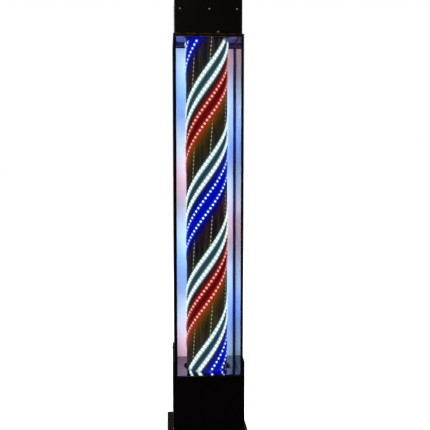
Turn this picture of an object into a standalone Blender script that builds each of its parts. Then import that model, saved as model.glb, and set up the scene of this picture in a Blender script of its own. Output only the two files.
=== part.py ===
"""Barber pole light: a free-standing square column with a lit, turning drum behind glass.

Metres, +Z up, front towards -Y. The origin is on the floor, under the drum's axis.
The column stands on a plinth. Four corner posts carry the glass, the white back reflector
and the top frame. The base box holds the motor and the power supply, and the cap holds the
top bearing and the slip ring that feeds the LED strips on the drum.
"""

import math

import bmesh
import bpy
from mathutils import Matrix, Vector

# ---------------------------------------------------------------- driving dimensions
TOTAL_HEIGHT = 1.300
COLUMN_HALF = 0.098  # glazed column: half its width, and the front face's distance from the axis
COLUMN_REAR = 0.106  # rear edge of the corner posts
SHEET = 0.0015  # folded sheet and extrusion wall
CLEAR = 0.0003  # gap between pieces that touch

PLINTH_HALF = 0.120
PLINTH_BOTTOM = 0.006
PLINTH_TOP = 0.030
PLINTH_WALL = 0.003

BASE_HALF = 0.1025
BASE_WALL = BASE_HALF - COLUMN_HALF - CLEAR
SILL = 0.217  # lower edge of the window, and the chamber floor's upper face
CHEEK_HEIGHT = 0.044  # how far the base's side panels reach up over the posts
LINTEL = 1.174  # upper edge of the window
FRAME_TOP = 1.183
CEILING = 1.193
CAP_HALF = 0.0935
CAP_REAR = 0.1005
FLANGE_TOP = 1.258  # top of the ceiling tray's upright flanges

POST_FACE = 0.0075
POST_DEPTH = 0.014
GLASS = 0.004
REFLECTOR_FRONT = 0.095
REFLECTOR_HALF = 0.0876

DRUM_RADIUS = 0.0605
DRUM_WALL = 0.003
DRUM_BOTTOM = 0.203
DRUM_TOP = 1.200
DISC_TOP = DRUM_TOP - 0.006  # the upper disc sits inside the tube's end
DRUM_HOLE_RADIUS = 0.069  # clearance holes in the chamber's floor and ceiling

LEAD = 0.5272  # height that a strip climbs in one turn of the drum
STRIP_WIDTH = 0.010
STRIP_INNER = 0.0611
STRIP_OUTER = 0.0629
STRIP_SPACING_DEG = 33.0
STRIP_START = 1.0967  # height at which the first strip crosses the front of the drum
STRIP_COLOURS = ("white", "white", "red", "red", "white", "white", "blue", "blue")
STRIP_STEP_DEG = 10.0
STRIP_LOW_GAP = 0.006  # from the drum's lower edge to a strip's end
STRIP_HIGH_GAP = 0.028  # from the drum's upper edge, so that the ends show under the top frame

SHAFT_RADIUS = 0.004
SPINDLE_RADIUS = 0.006
BRIDGE_LOW = 1.2015
BRIDGE_TOP = BRIDGE_LOW + 0.002
BEARING_Z = BRIDGE_TOP + 0.0100
SLEEVE_LOW = BEARING_Z + 0.0100
SLEEVE_TOP = SLEEVE_LOW + 0.032
SPINDLE_TOP = SLEEVE_TOP + 0.005
BALL_COUNT = 8
BALL_RADIUS = 0.0022
BALL_CIRCLE = 0.010

SWITCH_AT = (0.045, 0.125)
ROCKER_TILT_DEG = 8.0
GLAND_AT = (-0.050, 0.072)
COVER_FRONT = 0.0993  # inner face of the base's rear cover
COVER_REAR = COVER_FRONT + SHEET
COVER_TOP = 0.205


# ---------------------------------------------------------------- materials
def material(name, colour, roughness, metallic=0.0, alpha=1.0):
    made = bpy.data.materials.new(name)
    made.use_nodes = True
    shader = made.node_tree.nodes["Principled BSDF"]
    shader.inputs["Base Color"].default_value = (*colour, 1.0)
    shader.inputs["Roughness"].default_value = roughness
    shader.inputs["Metallic"].default_value = metallic
    shader.inputs["Alpha"].default_value = alpha
    return made


def make_materials():
    return {
        "black_paint": material("black_paint", (0.012, 0.011, 0.011), 0.45),
        "black_gloss": material("black_gloss", (0.010, 0.010, 0.012), 0.08),
        "glass": material("glass", (0.93, 0.97, 0.96), 0.02, alpha=0.2),
        "white_panel": material("white_panel", (0.85, 0.87, 0.90), 0.45),
        "drum_skin": material("drum_skin", (0.015, 0.016, 0.020), 0.12),
        "white_leds": material("white_leds", (0.90, 0.98, 1.00), 0.35),
        "red_leds": material("red_leds", (0.70, 0.05, 0.04), 0.35),
        "blue_leds": material("blue_leds", (0.03, 0.06, 0.70), 0.35),
        "steel": material("steel", (0.55, 0.56, 0.58), 0.30, metallic=1.0),
        "zinc_plate": material("zinc_plate", (0.60, 0.60, 0.58), 0.42, metallic=1.0),
        "brass": material("brass", (0.72, 0.50, 0.22), 0.28, metallic=1.0),
        "black_plastic": material("black_plastic", (0.02, 0.02, 0.02), 0.40),
        "rubber": material("rubber", (0.02, 0.02, 0.02), 0.85),
        "cable_sheath": material("cable_sheath", (0.03, 0.03, 0.03), 0.55),
        "carbon": material("carbon", (0.05, 0.05, 0.05), 0.60),
    }


# ---------------------------------------------------------------- shape tools
def place(name, mesh, mat, smooth_below_deg=None):
    """Puts a finished bmesh into the scene as one named part."""
    bmesh.ops.recalc_face_normals(mesh, faces=mesh.faces)
    data = bpy.data.meshes.new(name)
    mesh.to_mesh(data)
    mesh.free()
    data.materials.append(mat)
    if smooth_below_deg:
        data.shade_smooth()
        data.set_sharp_from_angle(angle=math.radians(smooth_below_deg))
    part = bpy.data.objects.new(name, data)
    bpy.context.scene.collection.objects.link(part)
    return part


def add_block(mesh, low, high):
    centre = (Vector(low) + Vector(high)) / 2
    size = Vector(high) - Vector(low)
    where = Matrix.Translation(centre) @ Matrix.Diagonal((*size, 1.0))
    bmesh.ops.create_cube(mesh, size=1.0, matrix=where)


def block(name, low, high, mat):
    mesh = bmesh.new()
    add_block(mesh, low, high)
    return place(name, mesh, mat)


def add_prism(mesh, start_points, end_points):
    """A closed solid between two outlines with matching corners."""
    start = [mesh.verts.new(p) for p in start_points]
    end = [mesh.verts.new(p) for p in end_points]
    mesh.faces.new(start)
    mesh.faces.new(end)
    count = len(start)
    for i in range(count):
        j = (i + 1) % count
        mesh.faces.new((start[i], start[j], end[j], end[i]))


def prism(name, outline, lift, start, end, mat):
    """Extrudes a 2D outline. lift(u, v, w) turns outline point (u, v) at depth w into a 3D point."""
    mesh = bmesh.new()
    add_prism(mesh, [lift(u, v, start) for u, v in outline], [lift(u, v, end) for u, v in outline])
    return place(name, mesh, mat)


def along_x(u, v, w):
    return (w, u, v)


def along_y(u, v, w):
    return (u, w, v)


def along_z(u, v, w):
    return (u, v, w)


def add_turned(mesh, profile, sides, where=Matrix.Identity(4)):
    """Turns a profile of (radius, height) about Z. A closed profile clear of the axis makes a ring."""
    rings = []
    for radius, height in profile:
        if radius == 0:
            rings.append([mesh.verts.new(where @ Vector((0, 0, height)))])
            continue
        angles = (2 * math.pi * i / sides for i in range(sides))
        rings.append(
            [
                mesh.verts.new(where @ Vector((radius * math.cos(a), radius * math.sin(a), height)))
                for a in angles
            ]
        )
    on_axis = profile[0][0] == 0
    pairs = list(zip(rings, rings[1:])) if on_axis else list(zip(rings, rings[1:] + rings[:1]))
    for lower, upper in pairs:
        for i in range(sides):
            j = (i + 1) % sides
            corners = [lower[i % len(lower)], lower[j % len(lower)]]
            corners += [upper[j % len(upper)], upper[i % len(upper)]]
            mesh.faces.new(list(dict.fromkeys(corners)))


def turned(name, profile, mat, sides=32, where=Matrix.Identity(4), smooth_below_deg=40):
    mesh = bmesh.new()
    add_turned(mesh, profile, sides, where)
    return place(name, mesh, mat, smooth_below_deg)


def tube_profile(inner, outer, low, high):
    return [(inner, low), (outer, low), (outer, high), (inner, high)]


def disc_profile(radius, low, high):
    return [(0, low), (radius, low), (radius, high), (0, high)]


def facing(axis, at):
    """The matrix that carries +Z to the axis and the origin to a point."""
    turn = Vector((0, 0, 1)).rotation_difference(Vector(axis)).to_matrix().to_4x4()
    return Matrix.Translation(Vector(at)) @ turn


def cut(part, cutter):
    """Subtracts a helper, which stays in the file as a wire shape."""
    cutter.hide_render = True
    cutter.display_type = "WIRE"
    modifier = part.modifiers.new(f"cut by {cutter.name}", "BOOLEAN")
    modifier.operation = "DIFFERENCE"
    modifier.solver = "EXACT"
    modifier.object = cutter


def join(part, added):
    """Unites a helper with the part, so that the two come out as one solid."""
    added.hide_render = True
    added.display_type = "WIRE"
    modifier = part.modifiers.new(f"join {added.name}", "BOOLEAN")
    modifier.operation = "UNION"
    modifier.solver = "EXACT"
    modifier.object = added


def bevel(part, width, segments=1):
    modifier = part.modifiers.new("edge", "BEVEL")
    modifier.width = width
    modifier.segments = segments
    modifier.limit_method = "ANGLE"
    modifier.angle_limit = math.radians(60)


def smooth_route(points, spacing):
    """Points about the given distance apart on a smooth curve through the route's own points."""
    route = [Vector(p) for p in points]
    route = [2 * route[0] - route[1], *route, 2 * route[-1] - route[-2]]
    found = []
    for a, b, c, d in zip(route, route[1:], route[2:], route[3:]):
        steps = max(1, round((c - b).length / spacing))
        for i in range(steps):
            t = i / steps
            found.append(
                0.5
                * (
                    2 * b
                    + (c - a) * t
                    + (2 * a - 5 * b + 4 * c - d) * t**2
                    + (3 * b - a - 3 * c + d) * t**3
                )
            )
    return [*found, route[-2]]


def cable(name, route, diameter, mat):
    line = bpy.data.curves.new(name, "CURVE")
    line.dimensions = "3D"
    line.bevel_depth = diameter / 2
    line.bevel_resolution = 2
    line.use_fill_caps = True
    spots = smooth_route(route, diameter * 3)
    spline = line.splines.new("POLY")
    spline.points.add(len(spots) - 1)
    for point, spot in zip(spline.points, spots):
        point.co = (*spot, 1.0)
    line.materials.append(mat)
    made = bpy.data.objects.new(name, line)
    bpy.context.scene.collection.objects.link(made)
    return made


# ---------------------------------------------------------------- plinth and base box
def make_plinth(mats):
    half, wall = PLINTH_HALF, PLINTH_WALL
    tray = block("plinth", (-half, -half, PLINTH_BOTTOM), (half, half, PLINTH_TOP), mats["black_paint"])
    hollow = block(
        "plinth_hollow",
        (-half + wall, -half + wall, PLINTH_BOTTOM - 0.01),
        (half - wall, half - wall, PLINTH_TOP - wall),
        mats["black_paint"],
    )
    bevel(tray, 0.0015)
    cut(tray, hollow)

    inset = 0.016
    underside = PLINTH_TOP - wall - CLEAR
    thickness = 0.012
    block(
        "ballast_plate",
        (-half + inset, -half + inset, underside - thickness),
        (half - inset, half - inset, underside),
        mats["steel"],
    )
    foot_height = underside - thickness - CLEAR
    spread = 0.088
    profile = [(0, 0), (0.012, 0), (0.014, 0.002), (0.015, foot_height), (0, foot_height)]
    for depth, y in (("front", -spread), ("rear", spread)):
        for side, x in (("left", -spread), ("right", spread)):
            at = Matrix.Translation((x, y, 0))
            turned(f"foot_{depth}_{side}", profile, mats["rubber"], 16, at)


def make_base_shell(mats):
    """One folded sheet: the front, and two sides that reach up over the posts."""
    half, wall, low = BASE_HALF, BASE_WALL, PLINTH_TOP + CLEAR
    outline = [
        (-half, COLUMN_REAR),
        (-half, -half),
        (half, -half),
        (half, COLUMN_REAR),
        (half - wall, COLUMN_REAR),
        (half - wall, -half + wall),
        (-half + wall, -half + wall),
        (-half + wall, COLUMN_REAR),
    ]
    shell = prism("base_shell", outline, along_z, low, SILL + CHEEK_HEIGHT, mats["black_paint"])
    above_sill = block(
        "front_relief",
        (-half + wall, -half - 0.01, SILL),
        (half - wall, -half + wall + 0.01, SILL + CHEEK_HEIGHT + 0.01),
        mats["black_paint"],
    )
    cut(shell, above_sill)
    bevel(shell, 0.0006)

    box_x = -half + wall + CLEAR
    controller = block(
        "pattern_controller",
        (box_x, -0.050, 0.082),
        (box_x + 0.022, 0.020, 0.148),
        mats["black_plastic"],
    )
    bevel(controller, 0.002, 2)


def make_rear_cover(mats):
    half = COLUMN_HALF - SHEET - CLEAR
    cover = block(
        "base_rear_cover",
        (-half, COVER_FRONT, PLINTH_TOP + CLEAR),
        (half, COVER_REAR, COVER_TOP),
        mats["black_paint"],
    )
    slot_width, slot_height, slot_pitch = 0.040, 0.003, 0.008
    for i in range(6):
        z = 0.148 + i * slot_pitch
        low = (-slot_width / 2, COVER_FRONT - 0.005, z)
        high = (slot_width / 2, COVER_REAR + 0.005, z + slot_height)
        cut(cover, block(f"vent_slot_{i + 1}", low, high, mats["black_paint"]))

    switch_x, switch_z = SWITCH_AT
    window = (0.0138, 0.0112)
    cut(
        cover,
        block(
            "switch_window",
            (switch_x - window[0], COVER_FRONT - 0.005, switch_z - window[1]),
            (switch_x + window[0], COVER_REAR + 0.005, switch_z + window[1]),
            mats["black_paint"],
        ),
    )
    gland_x, gland_z = GLAND_AT
    cut(
        cover,
        turned(
            "gland_hole",
            disc_profile(0.0078, -0.005, 0.005),
            mats["black_paint"],
            24,
            facing((0, 1, 0), (gland_x, COVER_FRONT, gland_z)),
        ),
    )


# ---------------------------------------------------------------- glazed column
def make_posts(mats):
    """Extruded corner posts, which run from the plinth to the top frame."""
    outer, face, depth = COLUMN_HALF, POST_FACE, POST_DEPTH
    front = -COLUMN_HALF
    rear = COLUMN_REAR
    low, high = PLINTH_TOP + CLEAR, LINTEL - CLEAR
    back_leg_front, back_leg_inner = 0.0975, 0.078
    front_section = [
        (outer - face, front),
        (outer, front),
        (outer, front + depth),
        (outer - SHEET, front + depth),
        (outer - SHEET, front + SHEET),
        (outer - face, front + SHEET),
    ]
    rear_section = [
        (outer, 0.074),
        (outer, rear),
        (outer - SHEET, rear),
        (outer - SHEET, back_leg_front + SHEET),
        (back_leg_inner, back_leg_front + SHEET),
        (back_leg_inner, back_leg_front),
        (outer - SHEET, back_leg_front),
        (outer - SHEET, 0.074),
    ]
    for label, section in (("front_post", front_section), ("rear_post", rear_section)):
        for side, sign in (("left", -1), ("right", 1)):
            outline = [(sign * x, y) for x, y in section]
            prism(f"{label}_{side}", outline, along_z, low, high, mats["black_paint"])


def make_glazing(mats):
    glass = mats["glass"]
    inner = COLUMN_HALF - SHEET - CLEAR
    low = SILL - 0.008
    high = FRAME_TOP - SHEET - CLEAR
    front_face = -inner
    block("front_glass", (-inner, front_face, low), (inner, front_face + GLASS, high), glass)
    for name, sign in (("side_glass_left", -1), ("side_glass_right", 1)):
        x_low, x_high = sorted((sign * inner, sign * (inner - GLASS)))
        block(name, (x_low, front_face + GLASS + CLEAR, low), (x_high, REFLECTOR_FRONT - CLEAR, high), glass)


def make_back(mats):
    """The white reflector inside the chamber, and the painted pan that closes the column's back."""
    block(
        "back_reflector",
        (-REFLECTOR_HALF, REFLECTOR_FRONT, SILL + CLEAR),
        (REFLECTOR_HALF, REFLECTOR_FRONT + 0.0022, LINTEL),
        mats["white_panel"],
    )
    half = COLUMN_HALF - SHEET - CLEAR
    back, leg = COLUMN_REAR, 0.0993
    pan = [
        (-half, leg),
        (-half, back),
        (half, back),
        (half, leg),
        (half - SHEET, leg),
        (half - SHEET, back - SHEET),
        (-half + SHEET, back - SHEET),
        (-half + SHEET, leg),
    ]
    return prism("back_panel", pan, along_z, COVER_TOP + CLEAR, LINTEL - CLEAR, mats["black_paint"])


def make_sill(mats):
    """Rebated bars that carry the glass and the chamber floor, and the floor itself."""
    paint = mats["black_paint"]
    inner = COLUMN_HALF - SHEET - CLEAR
    glass_back = inner - GLASS - CLEAR
    seat = SILL - 0.008 - CLEAR
    under_floor = SILL - 0.003 - CLEAR
    bottom = 0.196
    side_outline = [
        (0.070, bottom),
        (BASE_HALF - BASE_WALL - CLEAR, bottom),
        (BASE_HALF - BASE_WALL - CLEAR, seat),
        (glass_back, seat),
        (glass_back, under_floor),
        (0.070, under_floor),
    ]
    for side, sign in (("left", -1), ("right", 1)):
        outline = [(sign * x, z) for x, z in side_outline]
        prism(f"floor_bearer_{side}", outline, along_y, -0.0835, 0.0735, paint)
    front_outline = [
        (-BASE_HALF + BASE_WALL + CLEAR, bottom),
        (-0.0838, bottom),
        (-0.0838, under_floor),
        (-glass_back, under_floor),
        (-glass_back, seat),
        (-inner - CLEAR, seat),
        (-inner - CLEAR, SILL),
        (-BASE_HALF + BASE_WALL + CLEAR, SILL),
    ]
    reach = COLUMN_HALF - POST_FACE - CLEAR
    prism("front_sill", front_outline, along_x, -reach, reach, paint)

    floor = block(
        "chamber_floor",
        (-glass_back, -glass_back, SILL - 0.003),
        (glass_back, REFLECTOR_FRONT - 2 * CLEAR, SILL),
        mats["black_gloss"],
    )
    cut(floor, turned("floor_hole", disc_profile(DRUM_HOLE_RADIUS, SILL - 0.01, SILL + 0.01), paint, 48))


def make_top_frame(mats):
    """A welded ring of angle bar that lies on the posts and holds the panes' upper edges."""
    front_leg, side_leg = 0.009, 0.006
    section = [
        (0, 0, LINTEL),
        (SHEET, SHEET, LINTEL),
        (SHEET, SHEET, FRAME_TOP - SHEET),
        (side_leg, front_leg, FRAME_TOP - SHEET),
        (side_leg, front_leg, FRAME_TOP),
        (0, 0, FRAME_TOP),
    ]
    mesh = bmesh.new()
    corners = []
    for x_side, y_edge in ((-1, -COLUMN_HALF), (1, -COLUMN_HALF), (1, COLUMN_REAR), (-1, COLUMN_REAR)):
        inward = -math.copysign(1, y_edge)
        points = [(x_side * (COLUMN_HALF - dx), y_edge + inward * dy, z) for dx, dy, z in section]
        corners.append([mesh.verts.new(p) for p in points])
    for start, end in zip(corners, corners[1:] + corners[:1]):
        for i in range(len(section)):
            j = (i + 1) % len(section)
            mesh.faces.new((start[i], end[i], end[j], start[j]))
    place("top_frame", mesh, mats["black_paint"])


# ---------------------------------------------------------------- cap and ceiling
def make_cap(mats):
    """The ceiling tray stands on the top frame, and the cap fits over it."""
    paint = mats["black_paint"]
    half, rear = CAP_HALF, CAP_REAR
    low = FRAME_TOP + CLEAR
    cap = block("cap_shell", (-half, -half, low), (half, rear, TOTAL_HEIGHT), paint)
    bevel(cap, 0.0012)
    cut(
        cap,
        block(
            "cap_hollow",
            (-half + SHEET, -half + SHEET, low - 0.01),
            (half - SHEET, rear - SHEET, TOTAL_HEIGHT - SHEET),
            paint,
        ),
    )
    front = -half + SHEET + CLEAR
    back = rear - SHEET - CLEAR
    tray_outline = [
        (front, low),
        (front, FLANGE_TOP),
        (front + SHEET, FLANGE_TOP),
        (front + SHEET, CEILING + SHEET),
        (back - SHEET, CEILING + SHEET),
        (back - SHEET, FLANGE_TOP),
        (back, FLANGE_TOP),
        (back, low),
        (back - SHEET, low),
        (back - SHEET, CEILING),
        (front + SHEET, CEILING),
        (front + SHEET, low),
    ]
    reach = half - SHEET - CLEAR
    tray = prism("ceiling_tray", tray_outline, along_x, -reach, reach, mats["black_gloss"])
    cut(tray, turned("ceiling_hole", disc_profile(DRUM_HOLE_RADIUS, CEILING - 0.01, CEILING + 0.01), paint, 48))
    cable_hole = disc_profile(0.005, CEILING - 0.01, CEILING + 0.01)
    cut(tray, turned("cable_hole", cable_hole, paint, 16, Matrix.Translation((0.060, 0.0885, 0))))


def make_bearing_bridge(mats):
    """The hat-section bar that stands on the tray, over the drum's end."""
    tray_top = CEILING + SHEET + CLEAR
    thick = BRIDGE_TOP - BRIDGE_LOW
    leg, foot = 0.0715, 0.0900
    outline = [
        (-foot, tray_top),
        (-leg, tray_top),
        (-leg, BRIDGE_LOW),
        (leg, BRIDGE_LOW),
        (leg, tray_top),
        (foot, tray_top),
        (foot, tray_top + thick),
        (leg + thick, tray_top + thick),
        (leg + thick, BRIDGE_TOP),
        (-leg - thick, BRIDGE_TOP),
        (-leg - thick, tray_top + thick),
        (-foot, tray_top + thick),
    ]
    bridge = prism("bearing_bridge", outline, along_y, -0.030, 0.030, mats["zinc_plate"])
    hole = disc_profile(0.0095, BRIDGE_LOW - 0.01, BRIDGE_TOP + 0.01)
    cut(bridge, turned("spindle_hole", hole, mats["steel"], 24))


def make_top_bearing(mats):
    """A flanged housing on the bridge, with a ball bearing round the drum's spindle."""
    seat = BRIDGE_TOP + CLEAR
    flange_top = seat + 0.003
    housing_top = BEARING_Z + 0.0045
    flange_half = 0.022
    race_outer, ball_track_out, ball_track_in = 0.014, 0.0125, 0.0075
    half_width = 0.004
    zinc = mats["zinc_plate"]
    housing = block(
        "bearing_housing",
        (-flange_half, -flange_half, seat),
        (flange_half, flange_half, flange_top),
        zinc,
    )
    bevel(housing, 0.004, 2)
    boss = turned("bearing_housing_boss", disc_profile(0.0175, seat, housing_top), zinc, 32)
    join(housing, boss)
    low_bore = disc_profile(0.0115, seat - 0.01, housing_top + 0.01)
    cut(housing, turned("bearing_housing_bore", low_bore, zinc, 32))
    seat_bore = disc_profile(race_outer + CLEAR, BEARING_Z - half_width - CLEAR, housing_top + 0.01)
    cut(housing, turned("bearing_seat", seat_bore, zinc, 32))

    steel = mats["steel"]
    low, high = BEARING_Z - half_width, BEARING_Z + half_width
    turned("bearing_outer_race", tube_profile(ball_track_out, race_outer, low, high), steel, 32)
    turned("bearing_inner_race", tube_profile(SPINDLE_RADIUS + CLEAR, ball_track_in, low, high), steel, 32)

    cage_profile = tube_profile(0.0092, 0.0108, BEARING_Z - 0.0015, BEARING_Z + 0.0015)
    cage = turned("bearing_ball_cage", cage_profile, mats["brass"], 32)
    for i in range(BALL_COUNT):
        angle = 2 * math.pi * i / BALL_COUNT
        spot = Matrix.Translation((BALL_CIRCLE * math.cos(angle), BALL_CIRCLE * math.sin(angle), BEARING_Z))
        ball = bmesh.new()
        bmesh.ops.create_uvsphere(ball, u_segments=10, v_segments=6, radius=BALL_RADIUS, matrix=spot)
        join(cage, place(f"ball_{i + 1}", ball, steel, 80))


def make_slip_ring(mats):
    """Two brass rings on the spindle, and the carbon brushes that feed them."""
    sleeve_radius, ring_inner, ring_outer = 0.0110, 0.0113, 0.0130
    ring_half = 0.004
    sleeve = tube_profile(SPINDLE_RADIUS + CLEAR, sleeve_radius, SLEEVE_LOW, SLEEVE_TOP)
    turned("slip_ring_sleeve", sleeve, mats["black_plastic"], 32)
    half_y, half_z = 0.0025, 0.003
    brush_start, brush_end = ring_outer + CLEAR, 0.024
    pockets = []
    for level, z in (("lower", SLEEVE_LOW + 0.008), ("upper", SLEEVE_TOP - 0.008)):
        contact = tube_profile(ring_inner, ring_outer, z - ring_half, z + ring_half)
        turned(f"slip_ring_{level}_contact", contact, mats["brass"], 32)
        low, high = (brush_start, -half_y, z - half_z), (brush_end, half_y, z + half_z)
        block(f"{level}_brush", low, high, mats["carbon"])
        low = (brush_start, -half_y - CLEAR, z - half_z - CLEAR)
        high = (brush_end + 0.002, half_y + CLEAR, z + half_z + CLEAR)
        pockets.append(block(f"{level}_brush_pocket", low, high, mats["carbon"]))

    floor = BRIDGE_TOP + CLEAR
    outline = [
        (0.0260, floor),
        (0.0460, floor),
        (0.0460, floor + 0.003),
        (0.0320, floor + 0.003),
        (0.0320, SLEEVE_TOP - 0.001),
        (0.0165, SLEEVE_TOP - 0.001),
        (0.0165, SLEEVE_LOW + 0.001),
        (0.0260, SLEEVE_LOW + 0.001),
    ]
    holder = prism("brush_holder", outline, along_y, -0.008, 0.008, mats["black_plastic"])
    for pocket in pockets:
        cut(holder, pocket)


# ---------------------------------------------------------------- drum
def strip_start(index):
    """The height at which strip number index crosses the front of the drum."""
    spacing = LEAD * STRIP_SPACING_DEG / 360
    half_turn, place_in_group = divmod(index, 4)
    return STRIP_START - half_turn * LEAD / 2 - place_in_group * spacing


def add_ribbon(mesh, start_height):
    """One flat strip wound round the drum as a helix that climbs to the right at the front."""
    radius = (STRIP_INNER + STRIP_OUTER) / 2
    climb = math.atan2(LEAD, 2 * math.pi * radius)
    half = STRIP_WIDTH / 2
    low, high = DRUM_BOTTOM + STRIP_LOW_GAP, DRUM_TOP - STRIP_HIGH_GAP
    first = -math.pi / 2 + 2 * math.pi * (low - start_height) / LEAD
    last = -math.pi / 2 + 2 * math.pi * (high - start_height) / LEAD
    steps = math.ceil(math.degrees(last - first) / STRIP_STEP_DEG)
    sections = []
    for i in range(steps + 1):
        angle = first + (last - first) * i / steps
        z = low + (high - low) * i / steps
        section = []
        for side, r in ((-1, STRIP_INNER), (1, STRIP_INNER), (1, STRIP_OUTER), (-1, STRIP_OUTER)):
            turn = angle - side * half * math.sin(climb) / radius
            height = z + side * half * math.cos(climb)
            section.append(mesh.verts.new((r * math.cos(turn), r * math.sin(turn), height)))
        sections.append(section)
    for lower, upper in zip(sections, sections[1:]):
        for i in range(4):
            j = (i + 1) % 4
            # The wide faces are split along their short diagonal, which keeps them off the drum.
            if i == 2:
                mesh.faces.new((lower[i], lower[j], upper[i]))
                mesh.faces.new((lower[j], upper[j], upper[i]))
            else:
                mesh.faces.new((lower[i], upper[j], upper[i]))
                mesh.faces.new((lower[i], lower[j], upper[j]))
    mesh.faces.new(sections[0])
    mesh.faces.new(sections[-1])


def make_drum(mats):
    turned(
        "drum_tube",
        tube_profile(DRUM_RADIUS - DRUM_WALL, DRUM_RADIUS, DRUM_BOTTOM, DRUM_TOP),
        mats["drum_skin"],
        48,
    )
    thickness = 0.004
    disc_radius = DRUM_RADIUS - DRUM_WALL - 2 * CLEAR
    for level, low in (("bottom", DRUM_BOTTOM), ("top", DISC_TOP - thickness)):
        disc = tube_profile(0.0050, disc_radius, low, low + thickness)
        turned(f"drum_{level}_disc", disc, mats["black_plastic"], 48)

    counts = {}
    for index, colour in enumerate(STRIP_COLOURS):
        counts[colour] = counts.get(colour, 0) + 1
        strip = bmesh.new()
        add_ribbon(strip, strip_start(index))
        place(f"led_strip_{colour}_{counts[colour]}", strip, mats[f"{colour}_leds"], 40)


def make_drive(mats):
    """The motor's shaft turns the hub under the drum, and the hollow spindle guides its top."""
    steel = mats["steel"]
    flange_top = DRUM_BOTTOM - CLEAR
    flange_low = flange_top - 0.004
    boss_low = 0.178
    bore = SHAFT_RADIUS + CLEAR
    hub_profile = [
        (bore, boss_low),
        (0.0110, boss_low),
        (0.0110, flange_low),
        (0.0220, flange_low),
        (0.0220, flange_top),
        (bore, flange_top),
    ]
    turned("drive_hub", hub_profile, mats["zinc_plate"], 32)
    turned("motor_shaft", disc_profile(SHAFT_RADIUS, 0.1490, 0.2000), steel, 24)

    flange_low_z = DISC_TOP + CLEAR
    spindle_flange_top = flange_low_z + 0.003
    bore = 0.0035
    spindle_profile = [
        (bore, flange_low_z),
        (0.0200, flange_low_z),
        (0.0200, spindle_flange_top),
        (SPINDLE_RADIUS, spindle_flange_top),
        (SPINDLE_RADIUS, SPINDLE_TOP),
        (bore, SPINDLE_TOP),
    ]
    turned("spindle", spindle_profile, steel, 32)


# ---------------------------------------------------------------- inside the base
def make_motor(mats):
    zinc = mats["zinc_plate"]
    bridge_low = 0.1603
    bridge_top = bridge_low + 0.003
    foot_top = 0.196 - CLEAR
    foot_low = foot_top - 0.003
    leg_in, leg_out, foot_out = 0.062, 0.065, 0.092
    outline = [
        (-foot_out, foot_top),
        (-foot_out, foot_low),
        (-leg_out, foot_low),
        (-leg_out, bridge_low),
        (leg_out, bridge_low),
        (leg_out, foot_low),
        (foot_out, foot_low),
        (foot_out, foot_top),
        (leg_in, foot_top),
        (leg_in, bridge_top),
        (-leg_in, bridge_top),
        (-leg_in, foot_top),
    ]
    bridge = prism("motor_bridge", outline, along_y, -0.032, 0.032, zinc)
    cut(bridge, turned("shaft_hole", disc_profile(0.008, bridge_low - 0.01, bridge_top + 0.01), zinc, 24))

    gearbox_low, gearbox_top = 0.1430, bridge_low - CLEAR
    outside = [
        (0, 0.105),
        (0.026, 0.105),
        (0.0285, 0.1075),
        (0.0285, gearbox_low),
        (0.030, gearbox_low),
        (0.030, gearbox_top),
        (0, gearbox_top),
    ]
    motor = turned("gear_motor", outside, mats["steel"], 40)
    shaft_bore = disc_profile(SHAFT_RADIUS + 2 * CLEAR, 0.1480, gearbox_top + 0.01)
    cut(motor, turned("shaft_bore", shaft_bore, zinc, 24))


def make_power_supply(mats):
    low = PLINTH_TOP + CLEAR
    case = block("power_supply", (-0.055, -0.070, low), (0.055, 0.008, low + 0.036), mats["zinc_plate"])
    bevel(case, 0.001)


def make_switch(mats):
    """A rocker switch in the rear cover. The rocker turns about a pin along X."""
    x, z = SWITCH_AT
    half_x, half_z = 0.0150, 0.0125
    body_x, body_z = 0.0135, 0.0109
    bezel_rear = COVER_REAR + CLEAR + 0.0022
    plastic = mats["black_plastic"]
    body = block(
        "switch_body",
        (x - body_x, 0.078, z - body_z),
        (x + body_x, bezel_rear - 0.0005, z + body_z),
        plastic,
    )
    bezel = block(
        "switch_bezel_form",
        (x - half_x, COVER_REAR + CLEAR, z - half_z),
        (x + half_x, bezel_rear, z + half_z),
        plastic,
    )
    join(body, bezel)
    cut(
        body,
        block(
            "rocker_pocket",
            (x - 0.0122, 0.0930, z - 0.0096),
            (x + 0.0122, bezel_rear + 0.01, z + 0.0096),
            plastic,
        ),
    )

    pivot_y = 0.0990
    reach = 0.0085
    nose = 0.0062
    outline = [
        (-0.0035, -0.0035),
        (-0.0035, 0.0035),
        (0.0030, reach),
        (nose, reach * 0.94),
        (nose - 0.0015, 0),
        (nose, -reach * 0.94),
        (0.0030, -reach),
    ]
    tilt = Matrix.Rotation(math.radians(ROCKER_TILT_DEG), 4, "X")
    mesh = bmesh.new()
    half_width = 0.0118
    add_prism(
        mesh,
        [tilt @ Vector((-half_width, u, v)) for u, v in outline],
        [tilt @ Vector((half_width, u, v)) for u, v in outline],
    )
    rocker = place("switch_rocker", mesh, mats["black_plastic"])
    rocker.location = (x, pivot_y, z)


def make_gland(mats):
    """The cable gland through the rear cover, closed with a blanking seal."""
    x, z = GLAND_AT
    flange_low = COVER_REAR + CLEAR
    profile = [
        (0, 0.0885),
        (0.0075, 0.0885),
        (0.0075, flange_low),
        (0.0105, flange_low),
        (0.0105, flange_low + 0.005),
        (0.0095, flange_low + 0.005),
        (0.0095, flange_low + 0.012),
        (0.0070, flange_low + 0.016),
        (0, flange_low + 0.016),
    ]
    turned("cable_gland", profile, mats["black_plastic"], 24, facing((0, 1, 0), (x, 0, z)))


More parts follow.
